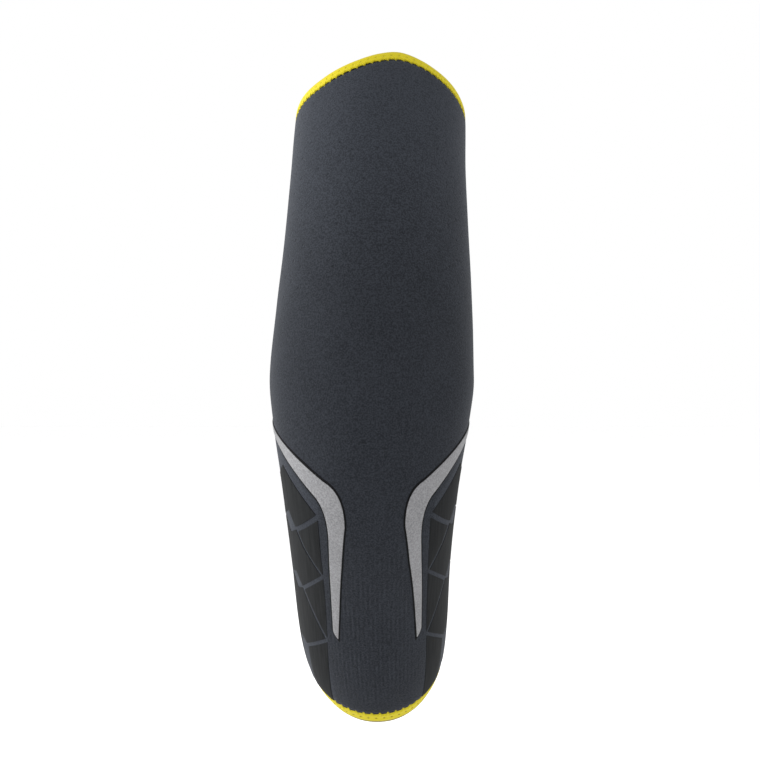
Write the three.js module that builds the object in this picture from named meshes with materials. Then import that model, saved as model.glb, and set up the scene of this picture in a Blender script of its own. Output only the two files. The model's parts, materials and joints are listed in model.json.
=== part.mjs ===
// A slip-on elbow sleeve in its worn form, slightly bent: one tube of knit-faced foam rubber,
// a folded tape round each edge, two silver stripes on dark backings, and raised grip pads down both sides.
// Millimetres. +Z is up the arm, and -Y is the back of the elbow. The origin is the middle of the
// hollow at elbow height. The sleeve is laid out flat, as angles round the arm and lengths along it,
// and every piece is wrapped from there onto the same worn form.
import * as THREE from "three";
import { mergeVertices } from "three/addons/utils/BufferGeometryUtils.js";
import { TessellateModifier } from "three/addons/modifiers/TessellateModifier.js";

// The arm's line along the middle of the hollow, from the elbow's widest height to each edge. It leans
// away from the back at both ends, and its bend is centred a little below that height.
const UPPER_LENGTH = 125.5;
const LOWER_LENGTH = 136.8;
const UPPER_LEAN = 20;
const LOWER_LEAN = 32;
const BEND_RADIUS = 60;
const BEND_DROP = 19;
// How far each edge sits to the right of the elbow, and how far each dips from its middle to its sides.
const TOP_DRIFT = 3.9;
const BOTTOM_DRIFT = 1.8;
const TOP_DIP = 11;
const BOTTOM_DIP = 8;
const TOP_TURN = 12.5;
const BOTTOM_TURN = 1;

// Outer sizes of the tube across the arm (width) and from back to front (depth). The tapes draw both
// edges in.
const TOP_WIDTH = 65;
const TOP_DEPTH = 72;
const ELBOW_WIDTH = 79.8;
const ELBOW_DEPTH = 84;
const BOTTOM_WIDTH = 50.4;
const BOTTOM_DEPTH = 62;
const WALL = 3;

// The edge tapes are folded round the wall, and every piece keeps the same small clearance.
const CLEARANCE = 0.3;
const TOP_TAPE_WIDTH = 3.2;
const BOTTOM_TAPE_WIDTH = 5;
const TAPE_THICKNESS = 0.6;

// The heat-pressed films.
const BACKING_THICKNESS = 0.2;
const SILVER_THICKNESS = 0.2;
const BACKING_BORDER = 0.6;
const PAD_THICKNESS = 0.7;
const WIDE_GAP = 1.5;
const NARROW_GAP = 0.7;
const PAD_TAPE_GAP = 0.8;
const PRINT_TURN = 5;

// How finely the forms are cut into faces.
const AROUND = 40;
const ALONG_UPPER = 12;
const ALONG_LOWER = 14;
const LONGEST_FILM_EDGE = 7;
const MOST_FILM_CUTS = 16;
const TAPE_ARC_STEPS = 4;
const STRIPE_CURVE_STEPS = 5;
const FOOT_STEPS = 4;

// The tube's form on each side of the elbow. at: share of the length from elbow to edge.
// across, through: share of the change in width and in depth. aside: share of the drift.
// turned: share of the angle by which the printed films are turned to the right.
const UPPER_FORM = [
  { at: 0.0, across: 0.0, through: 0.0, aside: 0.0 },
  { at: 0.23, across: 0.14, through: 0.13, aside: 0.25 },
  { at: 0.47, across: 0.37, through: 0.33, aside: 0.5 },
  { at: 0.71, across: 0.545, through: 0.5, aside: 0.64 },
  { at: 0.88, across: 0.615, through: 0.6, aside: 0.85 },
  { at: 0.95, across: 0.71, through: 0.7, aside: 0.93 },
  { at: 1.0, across: 1.0, through: 1.0, aside: 1.0 },
];
const LOWER_FORM = [
  { at: 0.0, across: 0.0, through: 0.0, aside: 0.0, turned: 0.0 },
  { at: 0.12, across: 0.125, through: 0.06, aside: -0.15, turned: 0.32 },
  { at: 0.31, across: 0.385, through: 0.27, aside: -0.3, turned: 0.68 },
  { at: 0.55, across: 0.545, through: 0.42, aside: -0.2, turned: 1.0 },
  { at: 0.8, across: 0.64, through: 0.53, aside: 0.2, turned: 0.9 },
  { at: 0.93, across: 0.78, through: 0.74, aside: 0.62, turned: 0.62 },
  { at: 1.0, across: 1.0, through: 1.0, aside: 1.0, turned: 0.45 },
];

// How each edge dips on its way from the middle of the back round to the inner side of the elbow.
// angle: degrees from its middle. top, bottom: share of that edge's dip.
const EDGE_FORM = [
  { angle: 0, top: 0.0, bottom: 0.0 },
  { angle: 15, top: 0.13, bottom: 0.0 },
  { angle: 30, top: 0.36, bottom: 0.05 },
  { angle: 45, top: 0.57, bottom: 0.17 },
  { angle: 60, top: 0.74, bottom: 0.33 },
  { angle: 90, top: 0.82, bottom: 0.47 },
  { angle: 130, top: 0.94, bottom: 0.7 },
  { angle: 180, top: 1.0, bottom: 1.0 },
];

// The corners of the stripe. turn: degrees from the middle of the back towards its side.
// down: share of the way from the elbow to the bottom edge.
const STRIPE = {
  tipInner: { turn: 92, down: 0.116 },
  kneeInnerStart: { turn: 31, down: 0.226 },
  kneeInnerPull: { turn: 18.2, down: 0.241 },
  kneeInnerEnd: { turn: 19.0, down: 0.304 },
  legInnerPull: { turn: 24.2, down: 0.386 },
  footInner: { turn: 29.3, down: 0.666 },
  footOuter: { turn: 33.1, down: 0.646 },
  legOuterPull: { turn: 32.8, down: 0.482 },
  kneeOuterStart: { turn: 30.4, down: 0.333 },
  kneeOuterPull: { turn: 30.2, down: 0.278 },
  kneeOuterEnd: { turn: 38, down: 0.257 },
  tipOuter: { turn: 92, down: 0.126 },
};

// The corners of the pads, on the half nearer the back. first, second and third are where the wide gaps
// reach the pads' back border, and the inner ones are where they reach the openings on the pad line.
const PADS = {
  top: { down: 0.217 },
  first: { turn: 37.8, down: 0.296 },
  firstInner: { turn: 60, down: 0.353 },
  second: { turn: 37.8, down: 0.450 },
  secondInner: { turn: 60.5, down: 0.552 },
  third: { turn: 38.8, down: 0.689 },
  thirdInner: { turn: 62, down: 0.778 },
  heel: { turn: 40.5 },
};
const PAD_LINE = 70;
const OPENING_HEIGHT = 0.029;

const radians = THREE.MathUtils.degToRad;
const lerp = THREE.MathUtils.lerp;

// A smooth value between the rows of a table, level at the first row, by cubic steps between rows.
function read(rows, key, value, column) {
  const last = rows.length - 1;
  let i = 0;
  while (i < last - 1 && value > rows[i + 1][key]) i += 1;
  const slope = (j) => {
    if (j === 0) return 0;
    const before = rows[j - 1];
    const after = rows[Math.min(j + 1, last)];
    return (after[column] - before[column]) / (after[key] - before[key]);
  };
  const span = rows[i + 1][key] - rows[i][key];
  const t = (value - rows[i][key]) / span;
  if (t > 1) return rows[last][column] + slope(last) * (value - rows[last][key]);
  const t2 = t * t;
  const t3 = t2 * t;
  return (
    (2 * t3 - 3 * t2 + 1) * rows[i][column] +
    (t3 - 2 * t2 + t) * span * slope(i) +
    (3 * t2 - 2 * t3) * rows[i + 1][column] +
    (t3 - t2) * span * slope(i + 1)
  );
}

// The arm's line from the middle of its bend: how far it runs away and up, and its lean there.
function bendLine(length) {
  const most = radians(length >= 0 ? UPPER_LEAN : -LOWER_LEAN);
  const lean = Math.abs(length / BEND_RADIUS) < Math.abs(most) ? length / BEND_RADIUS : most;
  const straight = length - BEND_RADIUS * lean;
  return {
    y: BEND_RADIUS * (1 - Math.cos(lean)) + straight * Math.sin(lean),
    z: BEND_RADIUS * Math.sin(lean) + straight * Math.cos(lean),
    lean,
  };
}

// The middle of the hollow at a length above (+) or below (-) the widest height, and the lean there.
function armLine(length) {
  const place = bendLine(length + BEND_DROP);
  const origin = bendLine(BEND_DROP);
  return { y: place.y - origin.y, z: place.z - origin.z, lean: place.lean };
}

// A point of the tube's outer face. share runs from -1 at the bottom edge to +1 at the top edge,
// and angle is in degrees from the middle of the back, to the right as seen from behind.
function outerPoint(angle, share) {
  const up = share >= 0;
  const form = up ? UPPER_FORM : LOWER_FORM;
  const at = Math.abs(share);
  const width = lerp(ELBOW_WIDTH, up ? TOP_WIDTH : BOTTOM_WIDTH, read(form, "at", at, "across"));
  const depth = lerp(ELBOW_DEPTH, up ? TOP_DEPTH : BOTTOM_DEPTH, read(form, "at", at, "through"));
  const drift = (up ? TOP_DRIFT : BOTTOM_DRIFT) * read(form, "at", at, "aside");
  const { y, z, lean } = armLine(share * (up ? UPPER_LENGTH : LOWER_LENGTH));
  const back = (depth / 2) * Math.cos(radians(angle));
  return new THREE.Vector3(
    drift + (width / 2) * Math.sin(radians(angle)),
    y - back * Math.cos(lean),
    z + back * Math.sin(lean),
  );
}

// The direction out of the outer face at a place.
function outward(angle, share) {
  const step = 0.5;
  const round = outerPoint(angle + step, share).sub(outerPoint(angle - step, share));
  const along = outerPoint(angle, share + step / 100).sub(outerPoint(angle, share - step / 100));
  return new THREE.Vector3().crossVectors(round, along).normalize();
}

// A point held off the outer face by a height, which is negative inside the wall.
function wrapped(angle, share, height) {
  return outerPoint(angle, share).addScaledVector(outward(angle, share), height);
}

// The share at which the sleeve's top edge (end +1) or bottom edge (end -1) lies at an angle.
function edgeShare(angle, end) {
  const up = end > 0;
  const fromMiddle = angle - (up ? TOP_TURN : BOTTOM_TURN);
  const turn = Math.abs(THREE.MathUtils.euclideanModulo(fromMiddle + 180, 360) - 180);
  const dip = read(EDGE_FORM, "angle", turn, up ? "top" : "bottom");
  return end * (1 - dip * (up ? TOP_DIP / UPPER_LENGTH : BOTTOM_DIP / LOWER_LENGTH));
}

// A closed ring swept round the arm. loop lists the corners of its section at each angle, anticlockwise.
function ringGeometry(loopAt) {
  const loops = Array.from({ length: AROUND }, (_, i) => loopAt((360 * i) / AROUND));
  const count = loops[0].length;
  const position = loops.flat().flatMap((p) => p.toArray());
  const index = [];
  for (let i = 0; i < AROUND; i += 1) {
    for (let j = 0; j < count; j += 1) {
      const a = i * count + j;
      const b = i * count + ((j + 1) % count);
      const c = ((i + 1) % AROUND) * count + ((j + 1) % count);
      const d = ((i + 1) % AROUND) * count + j;
      index.push(a, d, c, a, c, b);
    }
  }
  const geometry = new THREE.BufferGeometry();
  geometry.setAttribute("position", new THREE.Float32BufferAttribute(position, 3));
  geometry.setIndex(index);
  return geometry;
}

// The strip of the wall that a tape covers, at an angle: its two outer corners, and the directions out of
// the wall and up to its edge, which the wall and its tape share.
function edgeStrip(angle, end) {
  const edge = edgeShare(angle, end);
  const covered = end > 0 ? TOP_TAPE_WIDTH / UPPER_LENGTH : -BOTTOM_TAPE_WIDTH / LOWER_LENGTH;
  const corner = outerPoint(angle, edge);
  const hem = outerPoint(angle, edge - covered);
  const out = outward(angle, edge - covered / 2);
  return { corner, hem, out, along: corner.clone().sub(hem).normalize(), hemShare: edge - covered };
}

function sleeveTube() {
  return ringGeometry((angle) => {
    const [top, bottom] = [edgeStrip(angle, 1), edgeStrip(angle, -1)];
    const shares = [];
    for (let i = ALONG_LOWER - 1; i > 0; i -= 1) shares.push((bottom.hemShare * i) / ALONG_LOWER);
    for (let i = 0; i < ALONG_UPPER; i += 1) shares.push((top.hemShare * i) / ALONG_UPPER);
    const outside = shares.map((share) => outerPoint(angle, share));
    const inside = shares.toReversed().map((share) => wrapped(angle, share, -WALL));
    const through = ({ out }, point) => point.clone().addScaledVector(out, -WALL);
    return [
      bottom.corner, bottom.hem, ...outside, top.hem, top.corner,
      through(top, top.corner), through(top, top.hem), ...inside,
      through(bottom, bottom.hem), through(bottom, bottom.corner),
    ];
  });
}

// The edge tape's section: an outer leg, a round fold over the wall's edge and an inner leg.
function tapeSection(width) {
  const middle = -WALL / 2;
  const inner = WALL / 2 + CLEARANCE;
  const outer = inner + TAPE_THICKNESS;
  const section = [{ reach: -width, height: middle + outer }];
  for (let i = 0; i <= TAPE_ARC_STEPS; i += 1) {
    const turn = (Math.PI * i) / TAPE_ARC_STEPS;
    section.push({
      reach: CLEARANCE + TAPE_THICKNESS * Math.sin(turn),
      height: middle + outer * Math.cos(turn),
    });
  }
  section.push({ reach: -width, height: middle - outer });
  section.push({ reach: -width, height: middle - inner });
  section.push({ reach: CLEARANCE, height: middle - inner });
  section.push({ reach: CLEARANCE, height: middle + inner });
  section.push({ reach: -width, height: middle + inner });
  return section;
}

// The tape round the top edge (end +1) or the bottom edge (end -1).
function edgeTape(end) {
  const section = tapeSection(end > 0 ? TOP_TAPE_WIDTH : BOTTOM_TAPE_WIDTH);
  const corners = end > 0 ? section : section.toReversed();
  return ringGeometry((angle) => {
    const { corner, along, out } = edgeStrip(angle, end);
    return corners.map(({ reach, height }) =>
      corner.clone().addScaledVector(along, reach).addScaledVector(out, height),
    );
  });
}

// Films are drawn flat for one side and mirrored for the other. turn is the angle from the middle of the
// back towards that side, down is the share of the way from the elbow to the bottom edge, and the drawing
// is in millimetres: x round the arm at a middling girth, y along it.
const FLAT_RADIUS = (ELBOW_WIDTH + BOTTOM_WIDTH) / 4;
const flat = ({ turn, down }, side) =>
  new THREE.Vector2(radians(side * turn) * FLAT_RADIUS, -down * LOWER_LENGTH);

// The angle round the arm at which a place of the drawing lies once it's wrapped.
const printAngle = (turn, down) => turn + PRINT_TURN * read(LOWER_FORM, "at", down, "turned");

// An outline whose edges are all moved inwards (outwards where the value is negative).
function movedIn(corners, insets) {
  const turning = THREE.ShapeUtils.isClockWise(corners) ? -1 : 1;
  const inward = corners.map((corner, i) => {
    const edge = corners[(i + 1) % corners.length].clone().sub(corner).normalize();
    return new THREE.Vector2(-edge.y, edge.x).multiplyScalar(turning);
  });
  return corners.map((corner, i) => {
    const before = (i + corners.length - 1) % corners.length;
    const [m, n] = [inward[before], inward[i]];
    const cross = m.x * n.y - m.y * n.x;
    if (Math.abs(cross) < 1e-6) return corner.clone().addScaledVector(n, insets[i]);
    const x = (insets[before] * n.y - insets[i] * m.y) / cross;
    const y = (insets[i] * m.x - insets[before] * n.x) / cross;
    return new THREE.Vector2(corner.x + x, corner.y + y);
  });
}

// A thin closed film cut to a flat outline and wrapped onto the form, standing off it by a height.
function filmGeometry(outline, standOff, thickness) {
  const drawn = new THREE.ExtrudeGeometry(new THREE.Shape(outline), {
    depth: thickness,
    bevelEnabled: false,
  });
  const cut = new TessellateModifier(LONGEST_FILM_EDGE, MOST_FILM_CUTS).modify(drawn);
  cut.deleteAttribute("normal");
  cut.deleteAttribute("uv");
  const geometry = mergeVertices(cut, 0.001);
  const place = geometry.getAttribute("position");
  for (let i = 0; i < place.count; i += 1) {
    const down = -place.getY(i) / LOWER_LENGTH;
    const angle = printAngle(THREE.MathUtils.radToDeg(place.getX(i) / FLAT_RADIUS), down);
    const { x, y, z } = wrapped(angle, -down, standOff + place.getZ(i));
    place.setXYZ(i, x, y, z);
  }
  return geometry;
}

// The stripe's outline: from its blunt tip along its edge nearer the middle of the back, round the knee
// and down to its foot, then back up its outer edge.
function stripeOutline(side) {
  const shape = new THREE.Shape();
  const at = (name) => flat(STRIPE[name], side).toArray();
  shape.moveTo(...at("tipInner"));
  shape.lineTo(...at("kneeInnerStart"));
  shape.quadraticCurveTo(...at("kneeInnerPull"), ...at("kneeInnerEnd"));
  shape.quadraticCurveTo(...at("legInnerPull"), ...at("footInner"));
  shape.lineTo(...at("footOuter"));
  shape.quadraticCurveTo(...at("legOuterPull"), ...at("kneeOuterStart"));
  shape.quadraticCurveTo(...at("kneeOuterPull"), ...at("kneeOuterEnd"));
  shape.lineTo(...at("tipOuter"));
  return shape.getPoints(STRIPE_CURVE_STEPS);
}

function backingOutline(side) {
  const outline = stripeOutline(side);
  return movedIn(outline, outline.map(() => -BACKING_BORDER));
}

// The pads of one side. The near half is drawn, and the far half mirrors it about the pad line.
const mirrored = ({ turn, down }) => ({ turn: 2 * PAD_LINE - turn, down });
const onLine = (down) => ({ turn: PAD_LINE, down });

function padOutline(corners, gaps, side) {
  const halves = gaps.map((gap) => gap / 2);
  return movedIn(corners.map((corner) => flat(corner, side)), halves);
}

// The foot pad's lower edge keeps clear of the tape, so it follows the sleeve's bottom edge.
function foot(side, half) {
  const corners = [PADS.third, PADS.thirdInner].map(half);
  for (let i = 0; i <= FOOT_STEPS; i += 1) {
    const near = lerp(PADS.thirdInner.turn, PADS.heel.turn, i / FOOT_STEPS);
    const { turn } = half({ turn: near, down: 0 });
    const edge = -edgeShare(printAngle(side * turn, 1), -1);
    corners.push({ turn, down: edge - (BOTTOM_TAPE_WIDTH + PAD_TAPE_GAP) / LOWER_LENGTH });
  }
  return [corners, corners.map((_, i) => (i === 0 ? WIDE_GAP : 0))];
}

function padOutlines(side) {
  const { top, first, second, third, firstInner, secondInner, thirdInner } = PADS;
  const wide = WIDE_GAP;
  const thin = NARROW_GAP;
  const triangle = (upper, lower, inner) => [[upper, inner, lower], [wide, thin, 0]];
  const diamond = (upper, outer, lower, floor) => [
    [
      outer, upper, onLine(upper.down + OPENING_HEIGHT), mirrored(upper), mirrored(outer),
      mirrored(lower), ...floor, lower,
    ],
    [thin, 0, 0, thin, wide, 0, ...floor.map(() => 0), wide],
  ];
  const drawn = {
    cap: [
      [
        onLine(top.down), first, firstInner, onLine(firstInner.down - OPENING_HEIGHT),
        mirrored(firstInner), mirrored(first),
      ],
      [0, wide, 0, 0, wide, 0],
    ],
    upper_back: triangle(first, second, firstInner),
    upper_front: triangle(mirrored(first), mirrored(second), mirrored(firstInner)),
    upper_middle: diamond(firstInner, second, secondInner, [onLine(secondInner.down - OPENING_HEIGHT)]),
    lower_back: triangle(second, third, secondInner),
    lower_front: triangle(mirrored(second), mirrored(third), mirrored(secondInner)),
    lower_middle: diamond(secondInner, third, thirdInner, []),
    foot_back: foot(side, (corner) => corner),
    foot_front: foot(side, mirrored),
  };
  return Object.entries(drawn).map(([name, [corners, gaps]]) => [name, padOutline(corners, gaps, side)]);
}

const group = new THREE.Group();

function add(name, geometry, { color, roughness, metalness = 0 }) {
  const mesh = new THREE.Mesh(geometry, new THREE.MeshStandardMaterial({ color, roughness, metalness }));
  mesh.name = name;
  group.add(mesh);
}

const KNIT = { color: "#383a3f", roughness: 0.9 };
const TAPE = { color: "#e6d02c", roughness: 0.7 };
const BLACK_FILM = { color: "#17181a", roughness: 0.6 };
const SILVER_FILM = { color: "#9c9c9b", roughness: 0.45, metalness: 0.4 };
const GRIP_FILM = { color: "#2c2d2f", roughness: 0.4 };

add("sleeve_body", sleeveTube(), KNIT);
add("top_edge_tape", edgeTape(1), TAPE);
add("bottom_edge_tape", edgeTape(-1), TAPE);

for (const [word, side] of [["left", -1], ["right", 1]]) {
  const silverHeight = 2 * CLEARANCE + BACKING_THICKNESS;
  add(`${word}_stripe_backing`, filmGeometry(backingOutline(side), CLEARANCE, BACKING_THICKNESS), BLACK_FILM);
  add(`${word}_silver_stripe`, filmGeometry(stripeOutline(side), silverHeight, SILVER_THICKNESS), SILVER_FILM);
  for (const [name, outline] of padOutlines(side)) {
    add(`${word}_pad_${name}`, filmGeometry(outline, CLEARANCE, PAD_THICKNESS), GRIP_FILM);
  }
}

export default group;
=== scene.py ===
"""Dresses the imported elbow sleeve: knit face, edge tapes with their stitches, silver stripes, grip pads.

Every piece is drawn flat, in millimetres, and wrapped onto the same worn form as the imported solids.
"""

import json
import math
from collections import namedtuple

import bmesh
import bpy
import numpy as np
from bpy.props import FloatProperty, FloatVectorProperty, PointerProperty
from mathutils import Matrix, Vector, noise

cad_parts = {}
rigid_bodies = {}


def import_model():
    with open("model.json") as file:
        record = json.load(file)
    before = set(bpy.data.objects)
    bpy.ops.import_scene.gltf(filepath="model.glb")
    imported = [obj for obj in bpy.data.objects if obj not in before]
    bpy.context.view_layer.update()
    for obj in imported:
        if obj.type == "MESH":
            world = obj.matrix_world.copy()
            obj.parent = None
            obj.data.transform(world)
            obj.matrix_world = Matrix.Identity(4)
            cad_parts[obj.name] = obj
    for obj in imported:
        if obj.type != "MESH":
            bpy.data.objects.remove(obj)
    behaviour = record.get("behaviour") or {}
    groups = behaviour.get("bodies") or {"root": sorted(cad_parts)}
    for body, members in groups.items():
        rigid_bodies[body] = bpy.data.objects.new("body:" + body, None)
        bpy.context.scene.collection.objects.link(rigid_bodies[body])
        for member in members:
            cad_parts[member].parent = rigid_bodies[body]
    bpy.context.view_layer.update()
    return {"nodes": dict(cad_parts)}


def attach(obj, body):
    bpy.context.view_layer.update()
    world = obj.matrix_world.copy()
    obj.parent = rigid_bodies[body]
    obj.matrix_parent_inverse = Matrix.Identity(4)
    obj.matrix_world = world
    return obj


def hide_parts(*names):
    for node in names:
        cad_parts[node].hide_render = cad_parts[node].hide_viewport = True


bl_info = {
    "name": "Elbow Sleeve",
    "version": (1, 0, 0),
    "blender": (4, 5, 0),
    "location": "3D View > Sidebar > Sleeve",
    "description": "Makes a knit elbow sleeve with its tapes, stripes and grip pads",
    "category": "Object",
}

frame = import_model()
MM = 0.001

# The arm's line and the tube's sizes, in millimetres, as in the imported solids.
UPPER_LENGTH = 125.5
LOWER_LENGTH = 136.8
UPPER_LEAN = math.radians(20)
LOWER_LEAN = math.radians(32)
BEND_RADIUS = 60.0
BEND_DROP = 19.0
TOP_DRIFT = 3.9
BOTTOM_DRIFT = 1.8
TOP_DIP = 11.0
BOTTOM_DIP = 8.0
TOP_TURN = 12.5
BOTTOM_TURN = 1.0
TOP_WIDTH = 65.0
TOP_DEPTH = 72.0
ELBOW_WIDTH = 79.8
ELBOW_DEPTH = 84.0
BOTTOM_WIDTH = 50.4
BOTTOM_DEPTH = 62.0
PRINT_TURN = 5.0
FLAT_RADIUS = (ELBOW_WIDTH + BOTTOM_WIDTH) / 4
PRINT_SHIFT = math.radians(PRINT_TURN) * FLAT_RADIUS
# In the flat drawing: how steeply the stripes' upper arms climb, where their line meets the middle of the
# back, and how far from that middle the pads begin and end.
STRIPE_SLOPE = 0.586
STRIPE_LINE = -50.0
PADS_NEAR = 22.0
PADS_FAR = 57.75
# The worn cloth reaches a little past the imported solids' bottom edge.
BOTTOM_SLACK = 1.0

Level = namedtuple("Level", "at across through aside turned")
UPPER_FORM = [
    Level(at=0.0, across=0.0, through=0.0, aside=0.0, turned=0.0),
    Level(at=0.23, across=0.14, through=0.13, aside=0.25, turned=0.0),
    Level(at=0.47, across=0.37, through=0.33, aside=0.5, turned=0.0),
    Level(at=0.71, across=0.545, through=0.5, aside=0.64, turned=0.0),
    Level(at=0.88, across=0.615, through=0.6, aside=0.85, turned=0.0),
    Level(at=0.95, across=0.71, through=0.7, aside=0.93, turned=0.0),
    Level(at=1.0, across=1.0, through=1.0, aside=1.0, turned=0.0),
]
LOWER_FORM = [
    Level(at=0.0, across=0.0, through=0.0, aside=0.0, turned=0.0),
    Level(at=0.12, across=0.125, through=0.06, aside=-0.15, turned=0.32),
    Level(at=0.31, across=0.385, through=0.27, aside=-0.3, turned=0.68),
    Level(at=0.55, across=0.545, through=0.42, aside=-0.2, turned=1.0),
    Level(at=0.8, across=0.64, through=0.53, aside=0.2, turned=0.9),
    Level(at=0.93, across=0.78, through=0.74, aside=0.62, turned=0.62),
    Level(at=1.0, across=1.0, through=1.0, aside=1.0, turned=0.45),
]

# How each edge dips on its way from the middle of the back round to the inner side of the elbow.
Dip = namedtuple("Dip", "angle top bottom")
EDGE_FORM = [
    Dip(angle=0, top=0.0, bottom=0.0),
    Dip(angle=15, top=0.13, bottom=0.0),
    Dip(angle=30, top=0.36, bottom=0.05),
    Dip(angle=45, top=0.57, bottom=0.17),
    Dip(angle=60, top=0.74, bottom=0.33),
    Dip(angle=90, top=0.82, bottom=0.47),
    Dip(angle=130, top=0.94, bottom=0.7),
    Dip(angle=180, top=1.0, bottom=1.0),
]

# The flat drawing of the films on one side. turn: degrees from the middle of the back towards the side.
# down: share of the way from the elbow to the bottom edge.
Corner = namedtuple("Corner", "turn down")
STRIPE = {
    "tip_inner": Corner(turn=92, down=0.116),
    "knee_inner_start": Corner(turn=31, down=0.226),
    "knee_inner_pull": Corner(turn=18.2, down=0.241),
    "knee_inner_end": Corner(turn=19, down=0.304),
    "leg_inner_pull": Corner(turn=24.2, down=0.386),
    "foot_inner": Corner(turn=29.3, down=0.666),
    "foot_outer": Corner(turn=33.1, down=0.646),
    "leg_outer_pull": Corner(turn=32.8, down=0.482),
    "knee_outer_start": Corner(turn=30.4, down=0.333),
    "knee_outer_pull": Corner(turn=30.2, down=0.278),
    "knee_outer_end": Corner(turn=38, down=0.257),
    "tip_outer": Corner(turn=92, down=0.126),
}
PADS = {
    "top": Corner(turn=70, down=0.217),
    "first": Corner(turn=37.8, down=0.296),
    "first_inner": Corner(turn=60, down=0.353),
    "second": Corner(turn=37.8, down=0.450),
    "second_inner": Corner(turn=60.5, down=0.552),
    "third": Corner(turn=38.8, down=0.689),
    "third_inner": Corner(turn=62, down=0.778),
    "heel": Corner(turn=40.5, down=1.0),
}
PAD_LINE = 70
OPENING_HEIGHT = 0.029
BACKING_BORDER = 0.6
WIDE_GAP = 1.5
NARROW_GAP = 1.1
PAD_TAPE_GAP = 0.8

# The tape's folded section, from its stitched edge over the wall's edge and back inside. on: share of the
# tape's width that it still has on the sleeve. beyond: past the wall's edge. height: out from the wall's
# outer face. The low step in the outer leg is the line of needle holes.
Step = namedtuple("Step", "on beyond height")
TAPE_FOLD = [
    Step(on=1.0, beyond=0.0, height=-0.65),
    Step(on=0.95, beyond=0.0, height=-0.28),
    Step(on=0.84, beyond=0.0, height=-0.04),
    Step(on=0.68, beyond=0.0, height=0.06),
    Step(on=0.54, beyond=0.0, height=0.02),
    Step(on=0.46, beyond=0.0, height=-0.08),
    Step(on=0.38, beyond=0.0, height=0.0),
    Step(on=0.24, beyond=0.0, height=0.05),
    Step(on=0.1, beyond=0.0, height=-0.05),
    Step(on=0.0, beyond=0.5, height=-0.22),
    Step(on=0.0, beyond=1.15, height=-0.65),
    Step(on=0.0, beyond=1.5, height=-1.35),
    Step(on=0.0, beyond=1.5, height=-2.1),
    Step(on=0.0, beyond=1.15, height=-2.75),
    Step(on=0.0, beyond=0.5, height=-3.2),
    Step(on=0.12, beyond=0.0, height=-3.42),
    Step(on=0.38, beyond=0.0, height=-3.5),
    Step(on=0.68, beyond=0.0, height=-3.5),
    Step(on=0.92, beyond=0.0, height=-3.4),
    Step(on=1.0, beyond=0.0, height=-3.1),
]
HOLE_LINE = 0.46
COLUMNS_PER_STITCH = 8

# The two sewn edges. bulk: how far the fold stands out. pull: how hard its stitches pull. The last two
# columns: how much painted shade darkens the needle holes and the fold.
Tape = namedtuple("Tape", "word end width bulk pull hole_shade fold_shade")
TAPES = [
    Tape(word="top", end=1, width=3.2, bulk=1.0, pull=0.4, hole_shade=0.25, fold_shade=0.1),
    Tape(word="bottom", end=-1, width=5.0, bulk=1.6, pull=1.0, hole_shade=0.85, fold_shade=0.92),
]


class SleeveSizes(bpy.types.PropertyGroup):
    """Sizes that a maker would change."""

    wall: FloatProperty(
        name="Wall",
        description="Thickness of the knit-faced foam",
        default=3 * MM,
        unit="LENGTH",
        precision=4,
    )
    tape_tooth: FloatProperty(
        name="Stitch Tooth",
        description="How far each stitch pulls the tape into the knit",
        default=1.5 * MM,
        unit="LENGTH",
        precision=5,
    )
    stitch_pitch: FloatProperty(
        name="Stitch Pitch",
        description="Distance between two stitches of the zigzag along an edge",
        default=3.1 * MM,
        unit="LENGTH",
        precision=5,
    )
    thread: FloatProperty(
        name="Thread",
        description="Diameter of the sewing thread",
        default=0.3 * MM,
        unit="LENGTH",
        precision=5,
    )
    stripe_film: FloatProperty(
        name="Stripe Film",
        description="Thickness of the silver film and of its backing",
        default=0.16 * MM,
        unit="LENGTH",
        precision=5,
    )
    pad_film: FloatProperty(
        name="Grip Pad",
        description="Thickness of the grip pads",
        default=0.13 * MM,
        unit="LENGTH",
        precision=5,
    )
    rib_pitch: FloatProperty(
        name="Rib Pitch",
        description="Distance between the knit's ribs below the elbow",
        default=1.8 * MM,
        unit="LENGTH",
        precision=5,
    )
    hole_pitch: FloatProperty(
        name="Dimple Pitch",
        description="Distance between the dimples of the upper arm along a row",
        default=9 * MM,
        unit="LENGTH",
        precision=5,
    )


def linear(hex_colour):
    """Turn an sRGB hex colour into linear red, green and blue."""
    parts = [int(hex_colour[i : i + 2], 16) / 255 for i in (1, 3, 5)]
    return tuple(p / 12.92 if p <= 0.04045 else ((p + 0.055) / 1.055) ** 2.4 for p in parts)


def colour_property(name, description, hex_colour):
    return FloatVectorProperty(
        name=name, description=description, subtype="COLOR", size=3, min=0, max=1, default=linear(hex_colour)
    )


class SleeveColours(bpy.types.PropertyGroup):
    """Colours that a maker would change."""

    knit_dark: colour_property("Knit Shade", "Darker yarn of the heather knit", "#17191d")
    knit_light: colour_property("Knit Fleck", "Lighter yarn of the heather knit", "#303339")
    tape: colour_property("Tape", "Folded edge tape", "#b9ab15")
    thread: colour_property("Thread", "Thread of the zigzag stitches", "#b9ac1d")
    seam: colour_property("Seam Thread", "Dark thread along the tape's stitched edge", "#07080f")
    silver: colour_property("Silver", "Reflective film of the stripes", "#737375")
    backing: colour_property("Backing", "Film under the stripes", "#08090a")
    grip: colour_property("Grip Pad", "Raised grip film", "#1a1b1c")
    lining: colour_property("Lining", "Inner face of the tube", "#141518")
    floor: colour_property("Floor", "Studio floor", "#ffffff")


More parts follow.
